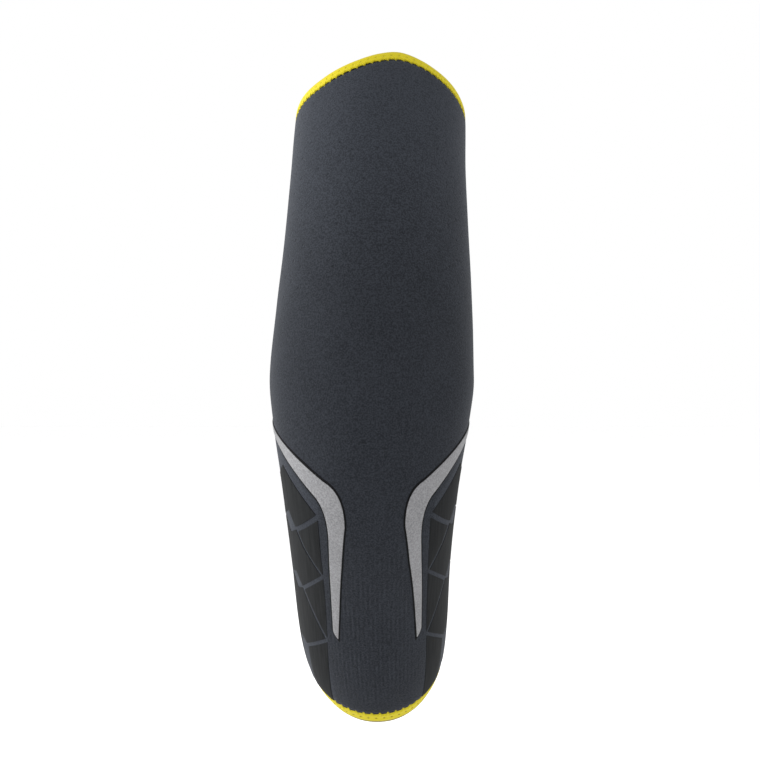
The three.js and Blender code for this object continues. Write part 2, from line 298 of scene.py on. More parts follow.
def smooth_reader(rows, key, column):
    """Return a smooth reader of one column of a table, level at the table's first row."""
    xs = [getattr(row, key) for row in rows]
    ys = [getattr(row, column) for row in rows]
    last = len(rows) - 1
    slopes = [0.0]
    for i in range(1, last + 1):
        after = min(i + 1, last)
        slopes.append((ys[after] - ys[i - 1]) / (xs[after] - xs[i - 1]))

    def value_at(x):
        if x > xs[last]:
            return ys[last] + slopes[last] * (x - xs[last])
        i = 0
        while i < last - 1 and x > xs[i + 1]:
            i += 1
        span = xs[i + 1] - xs[i]
        t = (x - xs[i]) / span
        t2 = t * t
        t3 = t2 * t
        return (
            (2 * t3 - 3 * t2 + 1) * ys[i]
            + (t3 - 2 * t2 + t) * span * slopes[i]
            + (3 * t2 - 2 * t3) * ys[i + 1]
            + (t3 - t2) * span * slopes[i + 1]
        )

    return value_at


Half = namedtuple("Half", "length width depth drift across through aside")
UPPER = Half(
    UPPER_LENGTH,
    TOP_WIDTH,
    TOP_DEPTH,
    TOP_DRIFT,
    *(smooth_reader(UPPER_FORM, "at", column) for column in ("across", "through", "aside")),
)
LOWER = Half(
    LOWER_LENGTH,
    BOTTOM_WIDTH,
    BOTTOM_DEPTH,
    BOTTOM_DRIFT,
    *(smooth_reader(LOWER_FORM, "at", column) for column in ("across", "through", "aside")),
)
print_turned = smooth_reader(LOWER_FORM, "at", "turned")
top_dip = smooth_reader(EDGE_FORM, "angle", "top")
bottom_dip = smooth_reader(EDGE_FORM, "angle", "bottom")


def bend_line(length):
    """How far the arm's line runs away and up from the middle of its bend, and its lean there."""
    most = UPPER_LEAN if length >= 0 else -LOWER_LEAN
    lean = length / BEND_RADIUS
    if abs(lean) > abs(most):
        lean = most
    straight = length - BEND_RADIUS * lean
    y = BEND_RADIUS * (1 - math.cos(lean)) + straight * math.sin(lean)
    z = BEND_RADIUS * math.sin(lean) + straight * math.cos(lean)
    return y, z, lean


BEND_ORIGIN = bend_line(BEND_DROP)


def outer_point(angle, share):
    """A point of the tube's outer face: share -1 at the bottom edge, +1 at the top edge."""
    half = UPPER if share >= 0 else LOWER
    at = abs(share)
    width = ELBOW_WIDTH + (half.width - ELBOW_WIDTH) * half.across(at)
    depth = ELBOW_DEPTH + (half.depth - ELBOW_DEPTH) * half.through(at)
    y, z, lean = bend_line(share * half.length + BEND_DROP)
    turn = math.radians(angle)
    back = depth / 2 * math.cos(turn)
    return Vector(
        (
            half.drift * half.aside(at) + width / 2 * math.sin(turn),
            y - BEND_ORIGIN[0] - back * math.cos(lean),
            z - BEND_ORIGIN[1] + back * math.sin(lean),
        )
    )


def wrapped(angle, share, height):
    """A point held off the outer face by a height, in metres."""
    step = 0.5
    rounding = outer_point(angle + step, share) - outer_point(angle - step, share)
    along = outer_point(angle, share + step / 100) - outer_point(angle, share - step / 100)
    out = rounding.cross(along).normalized()
    return (outer_point(angle, share) + out * height) * MM


def edge_share(angle, end):
    """The share at which the top edge (end +1) or the bottom edge (end -1) lies at an angle."""
    if end > 0:
        turn = abs((angle - TOP_TURN + 180) % 360 - 180)
        return 1 - top_dip(turn) * TOP_DIP / UPPER_LENGTH
    turn = abs((angle - BOTTOM_TURN + 180) % 360 - 180)
    return -1 + (bottom_dip(turn) * BOTTOM_DIP - BOTTOM_SLACK) / LOWER_LENGTH


def from_edge(angle, end, reach):
    """The share at a reach, in millimetres, beyond an edge; negative on the sleeve."""
    return edge_share(angle, end) + end * reach / (UPPER_LENGTH if end > 0 else LOWER_LENGTH)


def blend_step(low, high, value):
    """A smooth step from 0 at low to 1 at high."""
    t = min(max((value - low) / (high - low), 0), 1)
    return t * t * (3 - 2 * t)


Seam = namedtuple("Seam", "tape stitches angles counts")


def sewn_seam(tape, pitch):
    """An edge's stitches, evenly spaced: how many have been made by each angle round the arm."""
    angles = [i / 2 - 180 for i in range(721)]
    points = [outer_point(angle, edge_share(angle, tape.end)) for angle in angles]
    lengths = [0.0]
    for before, after in zip(points, points[1:]):
        lengths.append(lengths[-1] + (after - before).length)
    stitches = round(lengths[-1] * MM / pitch)
    counts = [length / lengths[-1] * stitches for length in lengths]
    return Seam(tape, stitches, angles, counts)


def stitch_count(seam, angle):
    return float(np.interp(angle, seam.angles, seam.counts))


def stitch_angle(seam, count):
    return float(np.interp(count, seam.counts, seam.angles))


def tooth(seam, count):
    """How hard the stitches pull at a count: near 1 at each stitch, uneven as sewn, and 0 between them."""
    nearest = round(count) % seam.stitches
    strength = 1 + 0.45 * noise.noise(Vector((nearest * 1.7, seam.tape.end * 5.3, 0.4)))
    return seam.tape.pull * strength * (0.5 + 0.5 * math.cos(math.tau * count)) ** 7


def finish_piece(bm, name, material, node=None):
    """Store a mesh as a piece that rides with the sleeve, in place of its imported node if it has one."""
    mesh = bpy.data.meshes.new(name)
    bm.to_mesh(mesh)
    bm.free()
    mesh.shade_smooth()
    piece = bpy.data.objects.new(name, mesh)
    bpy.context.scene.collection.objects.link(piece)
    mesh.materials.append(material)
    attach(piece, "root")
    if node:
        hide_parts(node)
    return piece


def ring_grid(columns, rows):
    """A flat grid, one unit each way, whose places() run round the arm and across a section."""
    bm = bmesh.new()
    bmesh.ops.create_grid(bm, x_segments=columns, y_segments=rows, size=0.5)
    return bm


def wrap_grid(bm, place, uv):
    """Wrap a ring grid round the arm and close it. place and uv take an angle and a share across."""
    layer = bm.loops.layers.uv.new("cloth")
    for face in bm.faces:
        for loop in face.loops:
            x, y, _ = loop.vert.co
            loop[layer].uv = uv(x * 360, y + 0.5)
    for vert in bm.verts:
        x, y, _ = vert.co
        vert.co = place(x * 360, y + 0.5)
    bmesh.ops.remove_doubles(bm, verts=bm.verts, dist=0.01 * MM)
    bmesh.ops.recalc_face_normals(bm, faces=bm.faces)


# Materials.


def add_node(tree, kind, inputs=None, **settings):
    """Add a node with its settings, and fill or link its inputs."""
    node = tree.nodes.new(kind)
    for name, value in settings.items():
        setattr(node, name, value)
    for name, value in (inputs or {}).items():
        if isinstance(value, bpy.types.NodeSocket):
            tree.links.new(value, node.inputs[name])
        else:
            node.inputs[name].default_value = value
    return node


def new_material(name, surface):
    """A material with only a Principled shader, and that shader's fixed socket values."""
    material = bpy.data.materials.new(name)
    material.use_nodes = True
    shader = material.node_tree.nodes["Principled BSDF"]
    for socket, value in surface.items():
        shader.inputs[socket].default_value = value
    return material, material.node_tree, shader


def maths(tree, operation, first, second=0.0, third=0.0):
    node = add_node(tree, "ShaderNodeMath", {0: first, 1: second, 2: third}, operation=operation)
    return node.outputs[0]


def stepped(tree, value, low, high):
    """A smooth 0 to 1 step of a value between two limits."""
    inputs = {"Value": value, "From Min": low, "From Max": high}
    return add_node(tree, "ShaderNodeMapRange", inputs, interpolation_type="SMOOTHSTEP").outputs[0]


def mixed(tree, factor, first, second):
    node = add_node(tree, "ShaderNodeMix", {"Factor": factor}, data_type="RGBA")
    for socket, value in ((node.inputs[6], first), (node.inputs[7], second)):
        if isinstance(value, bpy.types.NodeSocket):
            tree.links.new(value, socket)
        else:
            socket.default_value = (*value, 1)
    return node.outputs[2]


def cloth_noise(tree, flat, grain, detail=2.0):
    """Noise with a grain in millimetres across and along the cloth."""
    across, along = grain
    scaled = add_node(
        tree, "ShaderNodeMapping", {"Vector": flat, "Scale": (1 / across, 1 / along, 1)}
    ).outputs[0]
    return add_node(tree, "ShaderNodeTexNoise", {"Vector": scaled, "Scale": 1, "Detail": detail}).outputs[0]


def dimple_field(tree, across, along, pitch):
    """0 at the middle of each dimple of a staggered grid, rising in millimetres away from it."""
    fields = []
    for shift in (0.0, 0.5):
        sides = []
        for value in (across, along):
            cell = maths(tree, "ADD", maths(tree, "DIVIDE", value, pitch), shift)
            centred = maths(tree, "SUBTRACT", maths(tree, "FRACT", cell), 0.5)
            sides.append(maths(tree, "POWER", maths(tree, "ABSOLUTE", centred), 2.0))
        fields.append(maths(tree, "SQRT", maths(tree, "ADD", *sides)))
    return maths(tree, "MULTIPLY", maths(tree, "MINIMUM", *fields), pitch)


def heather_knit(sizes, colours):
    """Elastic polyester jersey on foam rubber: matt, flecked, with a soft bright bloom at its edges."""
    material, tree, shader = new_material(
        "heather_jersey_knit",
        {"Roughness": 0.95, "Specular IOR Level": 0.1, "Sheen Weight": 0.13, "Sheen Roughness": 0.35},
    )
    shader.inputs["Sheen Tint"].default_value = (*linear("#c9ccd2"), 1)
    coordinates = add_node(tree, "ShaderNodeTexCoord")
    flat = coordinates.outputs["UV"]
    axes = add_node(tree, "ShaderNodeSeparateXYZ", {0: flat})
    across, along = axes.outputs[0], axes.outputs[1]
    # The flecks are single stitches, a little over half a millimetre apart, and clearer up the arm.
    place = coordinates.outputs["Object"]
    fleck = add_node(tree, "ShaderNodeTexNoise", {"Vector": place, "Scale": 1700, "Detail": 2}).outputs[0]
    clearer = maths(tree, "ADD", maths(tree, "MULTIPLY", stepped(tree, along, -10.0, 70.0), 0.55), 0.8)
    fleck = maths(tree, "ADD", maths(tree, "MULTIPLY", maths(tree, "SUBTRACT", fleck, 0.5), clearer), 0.5)
    patch = cloth_noise(tree, flat, (14.0, 18.0), 1.0)
    # The ribs fade out sideways and towards the elbow and the bottom tape.
    rib_turn = maths(tree, "MULTIPLY", across, math.tau / (sizes.rib_pitch / MM))
    rib = maths(tree, "COSINE", rib_turn)
    side_fade = maths(tree, "SUBTRACT", 1.0, stepped(tree, maths(tree, "ABSOLUTE", across), 10.0, 26.0))
    top_fade = maths(tree, "SUBTRACT", 1.0, stepped(tree, along, -75.0, -25.0))
    low_fade = stepped(tree, along, -132.0, -112.0)
    ribbed = maths(tree, "MULTIPLY", maths(tree, "MULTIPLY", side_fade, top_fade), low_fade)
    broken = stepped(tree, cloth_noise(tree, flat, (2.2, 6.0), 1.0), 0.35, 0.65)
    rib = maths(tree, "MULTIPLY", maths(tree, "MULTIPLY", rib, ribbed), broken)
    # The dimples fade in above the elbow.
    dimple = dimple_field(tree, across, along, sizes.hole_pitch / MM)
    dimple = maths(tree, "SUBTRACT", 1.0, stepped(tree, dimple, 0.2, 0.95))
    dimple = maths(tree, "MULTIPLY", dimple, stepped(tree, along, 5.0, 35.0))
    shade = stepped(tree, fleck, 0.32, 0.68)
    # Painted light: the knit is made paler towards the upper edge, and painted highlights make it paler
    # between the pads.
    shade = maths(tree, "ADD", shade, maths(tree, "MULTIPLY", stepped(tree, along, 5.0, 120.0), 0.75))
    from_print = maths(tree, "ABSOLUTE", maths(tree, "SUBTRACT", across, PRINT_SHIFT))
    under_stripe = maths(tree, "SUBTRACT", along, maths(tree, "MULTIPLY", from_print, STRIPE_SLOPE))
    limits = (
        stepped(tree, from_print, PADS_NEAR - 0.5, PADS_NEAR + 0.5),
        stepped(tree, from_print, PADS_FAR + 0.75, PADS_FAR - 0.75),
    )
    painted_highlight_between_pads = maths(tree, "MULTIPLY", *limits)
    below = stepped(tree, under_stripe, STRIPE_LINE + 1, STRIPE_LINE - 1)
    painted_highlight_between_pads = maths(tree, "MULTIPLY", painted_highlight_between_pads, below)
    # Painted highlight on the knit between the pads, below the stripes' line.
    shade = maths(tree, "ADD", shade, maths(tree, "MULTIPLY", painted_highlight_between_pads, 0.45))
    shade = maths(tree, "ADD", shade, maths(tree, "MULTIPLY", rib, 0.3))
    shade = maths(tree, "ADD", shade, maths(tree, "MULTIPLY", maths(tree, "SUBTRACT", patch, 0.5), 0.35))
    shade = maths(tree, "SUBTRACT", shade, maths(tree, "MULTIPLY", dimple, 0.3))
    shade = maths(tree, "MULTIPLY", maths(tree, "ADD", shade, 0.1), 0.62)
    tree.links.new(mixed(tree, shade, colours.knit_dark, colours.knit_light), shader.inputs["Base Color"])
    relief = maths(tree, "ADD", maths(tree, "MULTIPLY", fleck, 0.9), maths(tree, "MULTIPLY", rib, 0.25))
    relief = maths(tree, "SUBTRACT", relief, maths(tree, "MULTIPLY", dimple, 0.6))
    bump = add_node(tree, "ShaderNodeBump", {"Height": relief, "Strength": 0.7, "Distance": 0.25 * MM})
    tree.links.new(bump.outputs[0], shader.inputs["Normal"])
    return material


def plain_lining(colours):
    """Black nylon jersey lining: matt, with a fine even grain."""
    surface = {"Roughness": 0.8, "Specular IOR Level": 0.3}
    material, tree, shader = new_material("nylon_jersey_lining", surface)
    flat = add_node(tree, "ShaderNodeTexCoord").outputs["UV"]
    grain = cloth_noise(tree, flat, (0.6, 0.9))
    darker = tuple(part * 0.6 for part in colours.lining)
    tree.links.new(mixed(tree, grain, darker, colours.lining), shader.inputs["Base Color"])
    bump = add_node(tree, "ShaderNodeBump", {"Height": grain, "Strength": 0.5, "Distance": 0.2 * MM})
    tree.links.new(bump.outputs[0], shader.inputs["Normal"])
    return material


def folded_tape(sizes, colours, tape):
    """Nylon jersey binding tape: dyed yellow, slightly lustrous, with painted shade in each needle hole and
    on its fold.
    """
    material, tree, shader = new_material(
        f"nylon_binding_tape_{tape.word}",
        {"Roughness": 0.7, "Specular IOR Level": 0.15, "Sheen Weight": 0.03, "Sheen Roughness": 0.5},
    )
    # The tape's flat coordinates count stitches across and millimetres of reach along.
    flat = add_node(tree, "ShaderNodeTexCoord").outputs["UV"]
    axes = add_node(tree, "ShaderNodeSeparateXYZ", {0: flat})
    stitch, reach = axes.outputs[0], axes.outputs[1]
    from_hole = maths(tree, "SUBTRACT", maths(tree, "FRACT", stitch), 0.5)
    from_hole = maths(tree, "MULTIPLY", from_hole, sizes.stitch_pitch / MM)
    from_line = maths(tree, "ADD", reach, HOLE_LINE * tape.width)
    squares = [maths(tree, "POWER", maths(tree, "ABSOLUTE", value), 2.0) for value in (from_hole, from_line)]
    distance = maths(tree, "SQRT", maths(tree, "ADD", *squares))
    hole = maths(tree, "SUBTRACT", 1.0, stepped(tree, distance, 0.25, 0.6))
    weave = cloth_noise(tree, flat, (0.16, 0.5))
    hue = mixed(tree, weave, tuple(part * 0.84 for part in colours.tape), colours.tape)
    # Painted shade darkens the fold where it turns over the edge, strongly on the bottom tape and only a
    # little on the top one.
    fold = stepped(tree, reach, -0.55, 0.45)
    hue = mixed(tree, maths(tree, "MULTIPLY", fold, tape.fold_shade), hue, linear("#5d5217"))
    # Painted shade darkens each needle hole.
    shaded = mixed(tree, maths(tree, "MULTIPLY", hole, tape.hole_shade), hue, linear("#6b5c18"))
    tree.links.new(shaded, shader.inputs["Base Color"])
    relief = maths(tree, "SUBTRACT", maths(tree, "MULTIPLY", weave, 0.4), hole)
    bump = add_node(tree, "ShaderNodeBump", {"Height": relief, "Strength": 0.5, "Distance": 0.2 * MM})
    tree.links.new(bump.outputs[0], shader.inputs["Normal"])
    return material


def spun_thread(name, colour):
    """Polyester sewing thread: a soft lustre along its twist."""
    surface = {"Roughness": 0.6, "Specular IOR Level": 0.25, "Sheen Weight": 0.03}
    material, tree, shader = new_material(name, surface)
    flat = add_node(tree, "ShaderNodeTexCoord").outputs["UV"]
    twist = cloth_noise(tree, flat, (0.08, 0.5), 1.0)
    darker = tuple(part * 0.75 for part in colour)
    tree.links.new(mixed(tree, twist, darker, colour), shader.inputs["Base Color"])
    return material


def silver_film(colours):
    """Glass bead reflective film: an even mid grey with a fine grain and hardly any shine."""
    material, tree, shader = new_material(
        "glass_bead_reflective_film", {"Roughness": 0.5, "Metallic": 0.2, "Specular IOR Level": 0.3}
    )
    place = add_node(tree, "ShaderNodeTexCoord").outputs["Object"]
    grain = add_node(tree, "ShaderNodeTexNoise", {"Vector": place, "Scale": 1600, "Detail": 1}).outputs[0]
    cloud = add_node(tree, "ShaderNodeTexNoise", {"Vector": place, "Scale": 90, "Detail": 1}).outputs[0]
    tone = maths(tree, "ADD", maths(tree, "MULTIPLY", grain, 0.85), maths(tree, "MULTIPLY", cloud, 0.15))
    tone = stepped(tree, tone, 0.3, 0.7)
    darker = tuple(part * 0.74 for part in colours.silver)
    lighter = tuple(min(part * 1.16, 1) for part in colours.silver)
    tree.links.new(mixed(tree, tone, darker, lighter), shader.inputs["Base Color"])
    bump = add_node(tree, "ShaderNodeBump", {"Height": grain, "Strength": 0.25, "Distance": 0.08 * MM})
    tree.links.new(bump.outputs[0], shader.inputs["Normal"])
    return material


def black_film(colours):
    """Matt heat-press film under the stripes: nearly black, with hardly any shine."""
    material, tree, shader = new_material("matt_transfer_film", {"Roughness": 0.8, "Specular IOR Level": 0.1})
    place = add_node(tree, "ShaderNodeTexCoord").outputs["Object"]
    grain = add_node(tree, "ShaderNodeTexNoise", {"Vector": place, "Scale": 1400, "Detail": 1}).outputs[0]
    darker = tuple(part * 0.7 for part in colours.backing)
    tree.links.new(mixed(tree, grain, darker, colours.backing), shader.inputs["Base Color"])
    return material


def grip_film(colours):
    """Silicone-coated grip film: dark and almost matt, with faint ribs of the knit below."""
    material, tree, shader = new_material(
        "silicone_grip_film",
        {"Roughness": 0.65, "IOR": 1.2, "Specular IOR Level": 0.15},
    )
    flat = add_node(tree, "ShaderNodeTexCoord").outputs["UV"]
    streak = cloth_noise(tree, flat, (0.9, 14.0), 1.0)
    grain = cloth_noise(tree, flat, (0.5, 0.7))
    tone = maths(tree, "ADD", maths(tree, "MULTIPLY", streak, 0.7), maths(tree, "MULTIPLY", grain, 0.3))
    tone = stepped(tree, tone, 0.25, 0.75)
    darker = tuple(part * 0.75 for part in colours.grip)
    lighter = tuple(min(part * 1.35, 1) for part in colours.grip)
    tree.links.new(mixed(tree, tone, darker, lighter), shader.inputs["Base Color"])
    relief = maths(tree, "ADD", maths(tree, "MULTIPLY", streak, 0.6), maths(tree, "MULTIPLY", grain, 0.4))
    bump = add_node(tree, "ShaderNodeBump", {"Height": relief, "Strength": 0.35, "Distance": 0.15 * MM})
    tree.links.new(bump.outputs[0], shader.inputs["Normal"])
    return material


# The sleeve's body.

AROUND = 280
ALONG = 132
HEM = 12.0
HEM_ROWS = 16
SEAM_DEPTH = 0.45
SEAM_WIDTH = 0.9
PRESSED_BY_TAPE = 0.95
SQUEEZED_FROM = -0.6
SQUEEZED_TO = 1.8
PUCKER = 0.25
FOLD_DEPTH = 1.1
FOLD_PITCH = 25.0
FOLD_SPREAD = 21.0


def crook_folds(angle, share):
    """The soft folds of the foam in the crook of the elbow, in millimetres."""
    from_bend = share * (UPPER_LENGTH if share > 0 else LOWER_LENGTH) + BEND_DROP
    from_bend += 3.5 * noise.noise(Vector((math.sin(math.radians(angle)) * 2.2, 0.3, 1.7)))
    from_inner = 180 - abs(angle)
    side = 1 - blend_step(18, 66, from_inner)
    wave = math.cos(from_bend / FOLD_PITCH * math.tau) * math.exp(-((from_bend / FOLD_SPREAD) ** 2))
    return -FOLD_DEPTH * side * wave


def hem_press(seams, angle, share):
    """How far the tapes squeeze the foam at a place: 1 under a tape and 0 away from it."""
    pressed = 0.0
    for seam in seams:
        length = UPPER_LENGTH if seam.tape.end > 0 else LOWER_LENGTH
        inside = abs(edge_share(angle, seam.tape.end) - share) * length
        from_tape = inside - seam.tape.width
        pressed += 1 - blend_step(SQUEEZED_FROM, SQUEEZED_TO, from_tape)
    return pressed


def body_height(seams, angle, share):
    """Small rises and hollows of the knit face, in millimetres."""
    height = crook_folds(angle, share) - PRESSED_BY_TAPE * hem_press(seams, angle, share)
    for seam in seams:
        width = seam.tape.width
        length = UPPER_LENGTH if seam.tape.end > 0 else LOWER_LENGTH
        inside = abs(edge_share(angle, seam.tape.end) - share) * length
        if inside > width + 9:
            continue
        beyond = inside - width - 0.4
        if beyond > 0:
            pulled = tooth(seam, stitch_count(seam, angle))
            height += PUCKER * (0.4 - pulled) * math.exp(-beyond / 1.5)
    from_seam = math.radians(180 - abs(angle)) * FLAT_RADIUS
    height -= SEAM_DEPTH * math.exp(-((from_seam / SEAM_WIDTH) ** 2))
    place = Vector((math.cos(math.radians(angle)), math.sin(math.radians(angle)), share * 2.4))
    return height + 0.16 * noise.noise(place * 2.1)


class SLEEVE_OT_body(bpy.types.Operator):
    """Make the knit-faced foam tube in its worn form"""

    bl_idname = "sleeve.body"
    bl_label = "Sleeve Body"

    def execute(self, context):
        sizes = context.scene.sleeve_sizes
        colours = context.scene.sleeve_colours
        seams = [sewn_seam(tape, sizes.stitch_pitch) for tape in TAPES]
        # Rows lie close together in the hems, where the stitches pucker the knit.
        rows_at = [0, HEM_ROWS, ALONG - HEM_ROWS, ALONG]
        lengths = [0, HEM, UPPER_LENGTH + LOWER_LENGTH - HEM, UPPER_LENGTH + LOWER_LENGTH]
        spread = [length / lengths[-1] for length in lengths]

        def share_of(angle, across):
            low = edge_share(angle, -1)
            return low + (edge_share(angle, 1) - low) * float(np.interp(across * ALONG, rows_at, spread))

        def place(angle, across):
            share = share_of(angle, across)
            return wrapped(angle, share, body_height(seams, angle, share))

        def uv(angle, across):
            share = share_of(angle, across)
            length = UPPER_LENGTH if share >= 0 else LOWER_LENGTH
            return math.radians(angle) * FLAT_RADIUS, share * length

        bm = ring_grid(AROUND, ALONG)
        thinned = bm.verts.layers.deform.verify()
        for vert in bm.verts:
            angle = vert.co.x * 360
            share = share_of(angle, vert.co.y + 0.5)
            vert[thinned][0] = hem_press(seams, angle, share) * PRESSED_BY_TAPE * MM / sizes.wall
        wrap_grid(bm, place, uv)
        body = finish_piece(bm, "knit_sleeve", heather_knit(sizes, colours), "sleeve_body")
        body.data.materials.append(plain_lining(colours))
        body.vertex_groups.new(name="squeezed_hems")
        wall = body.modifiers.new("wall", "SOLIDIFY")
        wall.thickness = sizes.wall
        wall.offset = -1
        wall.use_even_offset = True
        wall.vertex_group = "squeezed_hems"
        wall.invert_vertex_group = True
        wall.material_offset = 1
        wall.material_offset_rim = 1
        return {"FINISHED"}


class SLEEVE_OT_tapes(bpy.types.Operator):
    """Make the folded tape round each edge"""

    bl_idname = "sleeve.tapes"
    bl_label = "Edge Tapes"

    def execute(self, context):
        sizes = context.scene.sleeve_sizes
        rows = len(TAPE_FOLD) - 1
        for tape in TAPES:
            seam = sewn_seam(tape, sizes.stitch_pitch)

            def count_at(turn, seam=seam):
                return (turn + 180) / 360 * seam.stitches

            def place(turn, across, tape=tape, seam=seam, count_at=count_at):
                step = TAPE_FOLD[round(across * rows)]
                count = count_at(turn)
                angle = stitch_angle(seam, count)
                outer_leg = across < 0.5
                pull = blend_step(0.6, 1.0, step.on) * tooth(seam, count) * sizes.tape_tooth / MM * outer_leg
                height = step.height
                if outer_leg and step.on == HOLE_LINE:
                    height -= 0.25 * tooth(seam, count + 0.5)
                reach = step.beyond * tape.bulk - step.on * tape.width - pull
                return wrapped(angle, from_edge(angle, tape.end, reach), height)

            def uv(turn, across, tape=tape, count_at=count_at):
                step = TAPE_FOLD[round(across * rows)]
                reach = step.beyond - step.on * tape.width
                inner_leg = across > 0.75
                return count_at(turn), -10.0 - reach if inner_leg else reach

            bm = ring_grid(seam.stitches * COLUMNS_PER_STITCH, rows)
            wrap_grid(bm, place, uv)
            material = folded_tape(sizes, context.scene.sleeve_colours, tape)
            piece = finish_piece(bm, f"{tape.word}_tape", material, f"{tape.word}_edge_tape")
            wall = piece.modifiers.new("thickness", "SOLIDIFY")
            wall.thickness = 0.4 * MM
            wall.offset = -1
        return {"FINISHED"}


def seam_cord(name, seam, path, radius, material):
    """A closed thread along an edge. path gives the count, reach and height of a stitch count's place."""
    sides = 6
    bm = ring_grid(seam.stitches * COLUMNS_PER_STITCH, sides)

    def place(turn, across):
        count, reach, height = path((turn + 180) / 360 * seam.stitches)
        angle = stitch_angle(seam, count % seam.stitches)
        round_turn = across * math.tau
        reach += radius * math.cos(round_turn)
        height += radius * math.sin(round_turn)
        return wrapped(angle, from_edge(angle, seam.tape.end, reach), height)

    wrap_grid(bm, place, lambda turn, across: (math.radians(turn) * FLAT_RADIUS, across))
    return finish_piece(bm, name, material)


class SLEEVE_OT_stitches(bpy.types.Operator):
    """Sew the tapes: a yellow zigzag over their outer face and a dark thread along their stitched edge"""

    bl_idname = "sleeve.stitches"
    bl_label = "Edge Stitches"

    def execute(self, context):
        sizes = context.scene.sleeve_sizes
        colours = context.scene.sleeve_colours
        zigzag = spun_thread("polyester_sewing_thread", colours.thread)
        edge = spun_thread("dark_overlock_thread", colours.seam)
        radius = sizes.thread / MM / 2
        for tape in TAPES:
            seam = sewn_seam(tape, sizes.stitch_pitch)

            def zigzag_path(count, tape=tape, seam=seam):
                swing = abs(2 * (count % 1) - 1)
                inner = -HOLE_LINE * tape.width
                tip = -tape.width - 0.7 - 0.55 * tooth(seam, round(count))
                lift = -0.06 - 0.42 * blend_step(0.7, 1.0, swing) - 0.3 * blend_step(0.25, 0.05, swing)
                return count + 0.1 * swing, inner + (tip - inner) * swing, lift

            def edge_path(count, tape=tape, seam=seam):
                bulge = abs(math.sin(math.pi * count)) ** 0.6
                return count, -tape.width - 0.15 - 0.55 * bulge, -0.32 * bulge - 0.9 * (1 - bulge)

            seam_cord(f"{tape.word}_zigzag_thread", seam, zigzag_path, radius, zigzag)
            seam_cord(f"{tape.word}_edge_thread", seam, edge_path, radius * (0.6 + 1.8 * tape.pull), edge)
        return {"FINISHED"}


# The films.

FOOT_ROUND = 1.9
# The right stripe was pressed on a little longer.
FOOT_SLIP = 1.7
# How deep the pads' film sinks into the knit.
PAD_ROOT = 0.15


def flat(corner, side):
    """A corner of the drawing, in millimetres round the arm and along it."""
    return Vector((math.radians(side * corner.turn) * FLAT_RADIUS, -corner.down * LOWER_LENGTH))


def print_angle(turn, down):
    """The angle round the arm at which a place of the drawing lies once it's wrapped."""
    return turn + PRINT_TURN * print_turned(down)


def moved_in(corners, insets):
    """An outline whose edges are all moved inwards, or outwards where the value is negative."""
    count = len(corners)
    area = sum(corners[i].cross(corners[(i + 1) % count]) for i in range(count))
    turning = 1 if area > 0 else -1
    inward = []
    for i, corner in enumerate(corners):
        edge = (corners[(i + 1) % count] - corner).normalized()
        inward.append(Vector((-edge.y, edge.x)) * turning)
    moved = []
    for i, corner in enumerate(corners):
        before, after = inward[i - 1], inward[i]
        cross = before.cross(after)
        if abs(cross) < 1e-6:
            moved.append(corner + after * insets[i])
            continue
        x = (insets[i - 1] * after.y - insets[i] * before.y) / cross
        y = (insets[i] * before.x - insets[i - 1] * after.x) / cross
        moved.append(corner + Vector((x, y)))
    return moved


def pulled_curve(start, pull, end, steps=10):
    """Points of a curve from start to end, without its start."""
    points = []
    for i in range(1, steps + 1):
        t = i / steps
        points.append(start * (1 - t) ** 2 + pull * (2 * t * (1 - t)) + end * t * t)
    return points


def stripe_outline(side):
    at = {name: flat(corner, side) for name, corner in STRIPE.items()}
    for name in ("foot_inner", "foot_outer"):
        at[name] += Vector((0, -FOOT_SLIP if side > 0 else 0))
    foot_cut = at["foot_outer"].lerp(at["foot_inner"], 0.6)
    foot_rise = at["foot_outer"] + (at["leg_outer_pull"] - at["foot_outer"]).normalized() * FOOT_ROUND
    return [
        at["tip_inner"],
        at["knee_inner_start"],
        *pulled_curve(at["knee_inner_start"], at["knee_inner_pull"], at["knee_inner_end"]),
        *pulled_curve(at["knee_inner_end"], at["leg_inner_pull"], at["foot_inner"]),
        foot_cut,
        *pulled_curve(foot_cut, at["foot_outer"], foot_rise, steps=6),
        *pulled_curve(foot_rise, at["leg_outer_pull"], at["knee_outer_start"]),
        *pulled_curve(at["knee_outer_start"], at["knee_outer_pull"], at["knee_outer_end"]),
        at["tip_outer"],
    ]


def sharp_corners(corners):
    """Which corners of an outline turn by more than about 20 degrees."""
    sharp = []
    for i, corner in enumerate(corners):
        before = corner - corners[i - 1]
        after = corners[(i + 1) % len(corners)] - corner
        sharp.append(before.angle(after) > 0.35)
    return sharp


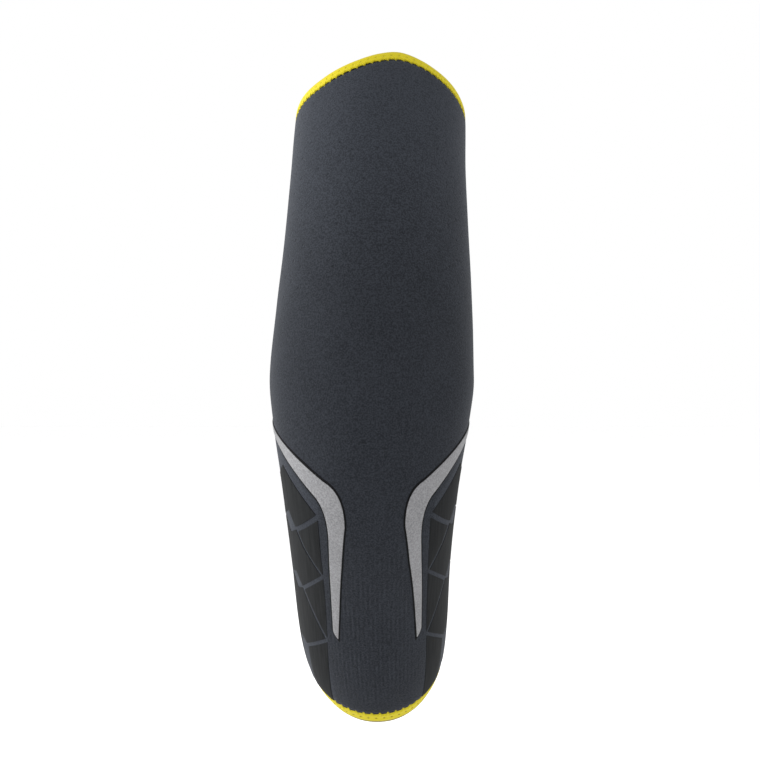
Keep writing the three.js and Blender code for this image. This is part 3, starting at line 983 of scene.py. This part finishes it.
def film_mesh(outline, stand_off, thickness, edge_round, corner_round):
    """A thin closed film cut to a flat outline, with rounded edges, wrapped onto the sleeve."""
    bm = bmesh.new()
    verts = [bm.verts.new((x, y, 0)) for x, y in outline]
    face = bm.faces.new(verts)
    face.normal_update()
    if face.normal.z < 0:
        face.normal_flip()
    corners = [vert for vert, sharp in zip(verts, sharp_corners(outline)) if sharp]
    if corner_round > 0:
        bmesh.ops.bevel(
            bm, geom=corners, offset=corner_round, segments=4, profile=0.5, affect="VERTICES", material=-1
        )
    raised = bmesh.ops.extrude_face_region(bm, geom=bm.faces[:])["geom"]
    raised = [item for item in raised if isinstance(item, bmesh.types.BMVert)]
    bmesh.ops.translate(bm, verts=raised, vec=(0, 0, thickness))
    bmesh.ops.recalc_face_normals(bm, faces=bm.faces)
    rim = [edge for edge in bm.edges if all(vert.co.z > thickness / 2 for vert in edge.verts)]
    bmesh.ops.bevel(
        bm,
        geom=rim,
        offset=edge_round,
        segments=3,
        profile=0.5,
        affect="EDGES",
        material=-1,
        clamp_overlap=True,
    )
    cell = 1.6
    for axis in (0, 1):
        low = min(vert.co[axis] for vert in bm.verts)
        high = max(vert.co[axis] for vert in bm.verts)
        normal = Vector((1 - axis, axis, 0))
        for i in range(1, math.ceil((high - low) / cell)):
            everything = bm.verts[:] + bm.edges[:] + bm.faces[:]
            bmesh.ops.bisect_plane(
                bm, geom=everything, dist=0.001, plane_co=normal * (low + i * cell), plane_no=normal
            )
    layer = bm.loops.layers.uv.new("cloth")
    for face in bm.faces:
        for loop in face.loops:
            loop[layer].uv = loop.vert.co.xy
    for vert in bm.verts:
        x, y, z = vert.co
        down = -y / LOWER_LENGTH
        angle = print_angle(math.degrees(x / FLAT_RADIUS), down)
        vert.co = wrapped(angle, -down, stand_off + z)
    bmesh.ops.triangulate(bm, faces=[face for face in bm.faces if len(face.verts) > 4])
    bmesh.ops.recalc_face_normals(bm, faces=bm.faces)
    return bm


class SLEEVE_OT_stripes(bpy.types.Operator):
    """Press a black backing and a silver stripe onto each side"""

    bl_idname = "sleeve.stripes"
    bl_label = "Stripes"

    def execute(self, context):
        colours = context.scene.sleeve_colours
        silver = silver_film(colours)
        black = black_film(colours)
        film = context.scene.sleeve_sizes.stripe_film / MM
        for word, side in (("left", -1), ("right", 1)):
            outline = stripe_outline(side)
            wider = moved_in(outline, [-BACKING_BORDER] * len(outline))
            bm = film_mesh(wider, stand_off=-0.1, thickness=film + 0.1, edge_round=0.06, corner_round=0.5)
            finish_piece(bm, f"{word}_stripe_underlay", black, f"{word}_stripe_backing")
            above = film - 0.05
            bm = film_mesh(outline, stand_off=above, thickness=film + 0.05, edge_round=0.06, corner_round=0.5)
            finish_piece(bm, f"{word}_stripe_film", silver, f"{word}_silver_stripe")
        return {"FINISHED"}


def mirrored(corner):
    """A corner mirrored from the near half of the pads to the far half."""
    return Corner(2 * PAD_LINE - corner.turn, corner.down)


def on_line(down):
    return Corner(PAD_LINE, down)


def foot_corners(side, half):
    """The foot pad: its lower edge keeps clear of the tape, so it follows the sleeve's bottom edge."""
    corners = [half(PADS["third"]), half(PADS["third_inner"])]
    steps = 8
    for i in range(steps + 1):
        near = PADS["third_inner"].turn + (PADS["heel"].turn - PADS["third_inner"].turn) * i / steps
        turn = half(Corner(near, 0)).turn
        edge = -edge_share(print_angle(side * turn, 1), -1)
        corners.append(Corner(turn, edge - (TAPES[1].width + PAD_TAPE_GAP) / LOWER_LENGTH))
    return corners, [WIDE_GAP] + [0] * (len(corners) - 1)


def pad_corners(side):
    """Each pad's corners, and the full gap beyond each of its edges."""
    first, second, third = PADS["first"], PADS["second"], PADS["third"]
    first_inner, second_inner, third_inner = PADS["first_inner"], PADS["second_inner"], PADS["third_inner"]

    def triangle(upper, lower, inner):
        return [upper, inner, lower], [WIDE_GAP, NARROW_GAP, 0]

    def diamond(upper, outer, lower, floor):
        roof = on_line(upper.down + OPENING_HEIGHT)
        corners = [outer, upper, roof, mirrored(upper), mirrored(outer), mirrored(lower), *floor, lower]
        return corners, [NARROW_GAP, 0, 0, NARROW_GAP, WIDE_GAP, 0, *[0] * len(floor), WIDE_GAP]

    middle_floor = [on_line(second_inner.down - OPENING_HEIGHT)]
    cap = [
        on_line(PADS["top"].down),
        first,
        first_inner,
        on_line(first_inner.down - OPENING_HEIGHT),
        mirrored(first_inner),
        mirrored(first),
    ]
    return {
        "cap": (cap, [0, WIDE_GAP, 0, 0, WIDE_GAP, 0]),
        "upper_back": triangle(first, second, first_inner),
        "upper_front": triangle(mirrored(first), mirrored(second), mirrored(first_inner)),
        "upper_middle": diamond(first_inner, second, second_inner, middle_floor),
        "lower_back": triangle(second, third, second_inner),
        "lower_front": triangle(mirrored(second), mirrored(third), mirrored(second_inner)),
        "lower_middle": diamond(second_inner, third, third_inner, []),
        "foot_back": foot_corners(side, lambda corner: corner),
        "foot_front": foot_corners(side, mirrored),
    }


class SLEEVE_OT_pads(bpy.types.Operator):
    """Press the raised grip pads onto both sides"""

    bl_idname = "sleeve.pads"
    bl_label = "Grip Pads"

    def execute(self, context):
        material = grip_film(context.scene.sleeve_colours)
        film = context.scene.sleeve_sizes.pad_film / MM
        for word, side in (("left", -1), ("right", 1)):
            for name, (corners, gaps) in pad_corners(side).items():
                outline = moved_in([flat(corner, side) for corner in corners], [gap / 2 for gap in gaps])
                thickness = film + PAD_ROOT
                bm = film_mesh(outline, -PAD_ROOT, thickness, edge_round=0.1, corner_round=0.35)
                node = f"{word}_pad_{name}"
                finish_piece(bm, f"{node}_film", material, node)
        return {"FINISHED"}


# place and size: metres. The camera's focal length is given in pixels of the square picture.
Light = namedtuple("Light", "name place size watts")
LIGHTS = [
    Light(name="key_light", place=(-1.1, -0.75, 0.75), size=0.9, watts=10.0),
    Light(name="rim_light", place=(-0.8, 0.15, 0.25), size=0.5, watts=7.0),
    Light(name="fill_light", place=(1.1, -0.1, 0.3), size=0.8, watts=3.5),
]
FLOOR_HEIGHT = -0.2
SENSOR = 36
FOCAL_PIXELS = 1534
PICTURE_PIXELS = 760
CAMERA_PLACE = (3.2 * MM, -600 * MM, 0)


class SLEEVE_OT_stage(bpy.types.Operator):
    """Set the pale floor, the soft studio lights and the camera"""

    bl_idname = "sleeve.stage"
    bl_label = "Studio"

    def execute(self, context):
        scene = context.scene
        bm = bmesh.new()
        bmesh.ops.create_grid(bm, x_segments=1, y_segments=1, size=6)
        bmesh.ops.translate(bm, verts=bm.verts, vec=(0, 0, FLOOR_HEIGHT))
        mesh = bpy.data.meshes.new("floor")
        bm.to_mesh(mesh)
        bm.free()
        floor = bpy.data.objects.new("floor", mesh)
        scene.collection.objects.link(floor)
        material, _, _ = new_material("matt_studio_floor", {"Roughness": 0.9})
        shader = material.node_tree.nodes["Principled BSDF"]
        shader.inputs["Base Color"].default_value = (*scene.sleeve_colours.floor, 1)
        mesh.materials.append(material)

        world = bpy.data.worlds.new("pale_studio")
        world.use_nodes = True
        backdrop = world.node_tree.nodes["Background"]
        backdrop.inputs["Color"].default_value = (1, 1, 1, 1)
        backdrop.inputs["Strength"].default_value = 1.0
        scene.world = world
        scene.view_settings.view_transform = "Standard"

        for row in LIGHTS:
            lamp = bpy.data.lights.new(row.name, "AREA")
            lamp.size = row.size
            lamp.energy = row.watts
            light = bpy.data.objects.new(row.name, lamp)
            light.location = row.place
            light.rotation_euler = (-Vector(row.place)).to_track_quat("-Z", "Y").to_euler()
            light.visible_camera = False
            scene.collection.objects.link(light)

        camera_data = bpy.data.cameras.new("camera")
        camera_data.sensor_width = SENSOR
        camera_data.lens = SENSOR * FOCAL_PIXELS / PICTURE_PIXELS
        camera = bpy.data.objects.new("camera", camera_data)
        camera.location = CAMERA_PLACE
        camera.rotation_euler = (math.pi / 2, 0, 0)
        scene.collection.objects.link(camera)
        scene.camera = camera
        return {"FINISHED"}


class SLEEVE_PT_sidebar(bpy.types.Panel):
    """Lists the steps that make the sleeve, with its sizes and colours"""

    bl_idname = "SLEEVE_PT_sidebar"
    bl_label = "Elbow Sleeve"
    bl_space_type = "VIEW_3D"
    bl_region_type = "UI"
    bl_category = "Sleeve"

    def draw(self, context):
        for step in STEPS:
            self.layout.operator(step.bl_idname)
        for settings in (context.scene.sleeve_sizes, context.scene.sleeve_colours):
            for name in settings.__annotations__:
                self.layout.prop(settings, name)


STEPS = (
    SLEEVE_OT_body,
    SLEEVE_OT_tapes,
    SLEEVE_OT_stitches,
    SLEEVE_OT_stripes,
    SLEEVE_OT_pads,
    SLEEVE_OT_stage,
)
CLASSES = (SleeveSizes, SleeveColours, *STEPS, SLEEVE_PT_sidebar)


def register():
    for cls in CLASSES:
        bpy.utils.register_class(cls)
    bpy.types.Scene.sleeve_sizes = PointerProperty(type=SleeveSizes)
    bpy.types.Scene.sleeve_colours = PointerProperty(type=SleeveColours)


def unregister():
    del bpy.types.Scene.sleeve_colours
    del bpy.types.Scene.sleeve_sizes
    for cls in reversed(CLASSES):
        bpy.utils.unregister_class(cls)


def main():
    register()
    for step in (
        bpy.ops.sleeve.body,
        bpy.ops.sleeve.tapes,
        bpy.ops.sleeve.stitches,
        bpy.ops.sleeve.stripes,
        bpy.ops.sleeve.pads,
        bpy.ops.sleeve.stage,
    ):
        step()
    endings = ("_tape", "_thread", "_film", "_underlay")
    sewn = [piece for piece in bpy.data.objects if piece.name.endswith(endings)]
    sewn = [piece for piece in sewn if piece.name not in frame["nodes"]]


if __name__ == "__main__":
    main()
